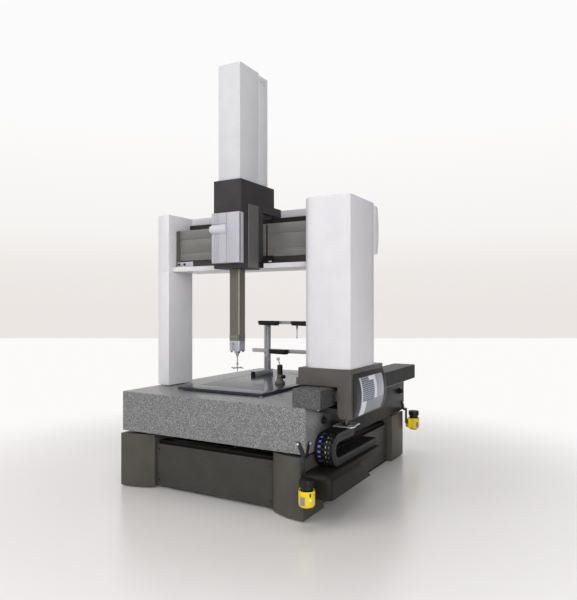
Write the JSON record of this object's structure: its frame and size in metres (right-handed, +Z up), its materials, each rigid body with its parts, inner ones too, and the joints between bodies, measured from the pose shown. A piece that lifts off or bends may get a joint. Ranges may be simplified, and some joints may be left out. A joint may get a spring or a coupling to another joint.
{
  "type": "coordinate measuring machine",
  "caption": "Bridge coordinate measuring machine: granite table on a steel base, moving portal on air bearings, carriage with a vertical ram, probe head and star stylus.",
  "frame": {"origin": "on the floor, below the middle of the steel base's width and of its length to within 60 mm", "axes": "+Z up, +X to the driven (right) leg, +Y to the rear, the way the portal travels"},
  "size_m": [1.881, 2.2488, 3.112],
  "materials": {
    "base_steel": "textured powder coat",
    "panel_steel": "satin powder coat",
    "foot_steel": "zinc plated",
    "isolator_rubber": "matt",
    "granite": "lapped speckled stone",
    "scale_steel": "fine brushed",
    "plate_black": "dark glossy hard coat",
    "fitting_black": "black oxide",
    "chain_plastic": "moulded polyamide",
    "foot_paint": "fine textured paint",
    "casting_aluminium": "as machined",
    "bearing_steel": "turned",
    "silver_paint": "satin silver",
    "trim_paint": "light satin silver",
    "bracket_zinc": "zinc plated",
    "leg_paint": "semi-matt light grey",
    "beam_coat": "hard anodised, olive grey",
    "cart_paint": "fine textured paint",
    "band_paint": "satin paint",
    "handle_paint": "satin silver",
    "hood_paint": "semi-matt white",
    "head_silver": "bead blasted",
    "stylus_steel": "ground",
    "profile_aluminium": "natural anodised",
    "holder_black": "moulded",
    "stand_steel": "burnished",
    "switch_black": "knurled",
    "scanner_yellow": "moulded",
    "scanner_black": "smooth window",
    "arm_black": "black powder coat"
  },
  "bodies": {
    "base": {"base_frame": "base_steel", "front_left_column": "base_steel", "front_right_column": "base_steel", "rear_left_column": "base_steel", "rear_right_column": "base_steel", "front_panel": "panel_steel", "rear_panel": "panel_steel", "left_panel": "panel_steel", "right_panel": "panel_steel", "levelling_feet": "foot_steel", "vibration_isolators": "isolator_rubber", "granite_table": "granite", "guide_rail": "granite", "guide_scale": "scale_steel", "table_plate": "plate_black", "plate_supports": "foot_steel", "transport_fittings": "fitting_black", "cable_tray": "base_steel", "tray_side_cover": "base_steel", "chain_lower_run": "chain_plastic", "scanner_brackets": "arm_black", "scanner_housings": "scanner_yellow", "scanner_heads": "scanner_black", "rack_feet": "profile_aluminium", "rack_posts": "profile_aluminium", "rack_bars": "profile_aluminium", "rack_end_caps": "holder_black", "rack_holders": "holder_black", "spare_stylus": "stylus_steel", "sphere_stand": "stand_steel"},
    "chain_turn": {"chain_loop": "chain_plastic"},
    "stand_switch": {"magnet_switch": "switch_black"},
    "portal": {"foot_casting": "casting_aluminium", "foot_cover": "foot_paint", "foot_side_frame": "foot_paint", "foot_side_cover": "silver_paint", "foot_cover_trim": "trim_paint", "portal_air_bearings": "bearing_steel", "chain_bracket": "bracket_zinc", "chain_upper_run": "chain_plastic", "right_post": "casting_aluminium", "right_leg_cover": "leg_paint", "right_leg_cowl": "leg_paint", "left_leg": "leg_paint", "left_leg_head": "leg_paint", "cross_beam": "beam_coat", "beam_under_cover": "leg_paint", "beam_rear_cover": "leg_paint"},
    "carriage": {"carriage_housing": "cart_paint", "carriage_side_band": "band_paint", "carriage_front_cover": "silver_paint", "carriage_handle": "handle_paint", "carriage_bearings": "bearing_steel", "column_cover": "hood_paint", "column_rear_cover": "hood_paint", "balance_cylinder": "bearing_steel"},
    "ram": {"ram": "beam_coat", "probe_head": "head_silver"},
    "stylus": {"star_stylus": "stylus_steel"}
  },
  "joints": [
    {"name": "portal_travel", "type": "slide", "parent": "base", "child": "portal", "axis": [0, 1, 0], "range_m": [-0.12, 0.85], "deforming": ["chain_upper_run"]},
    {"name": "chain_roll", "type": "slide", "parent": "base", "child": "chain_turn", "axis": [0, 1, 0], "range_m": [-0.06, 0.425], "deforming": ["chain_lower_run"]},
    {"name": "carriage_travel", "type": "slide", "parent": "portal", "child": "carriage", "axis": [1, 0, 0], "range_m": [-0.5, 0.4]},
    {"name": "ram_travel", "type": "slide", "parent": "carriage", "child": "ram", "axis": [0, 0, 1], "range_m": [-0.13, 0.52]},
    {"name": "stylus_deflection", "type": "slide", "parent": "ram", "child": "stylus", "axis": [0, 0, 1], "range_m": [-0.002, 0.0002], "stiffness_N_per_m": 4000},
    {"name": "switch_turn", "type": "hinge", "parent": "base", "child": "stand_switch", "pos_m": [0.17, -0.111, 0.8], "axis": [1, 0, 0], "range_deg": [0, 90]}
  ],
  "couplings": [
    {"joint": "chain_roll", "follows": "portal_travel", "ratio": 0.5}
  ]
}
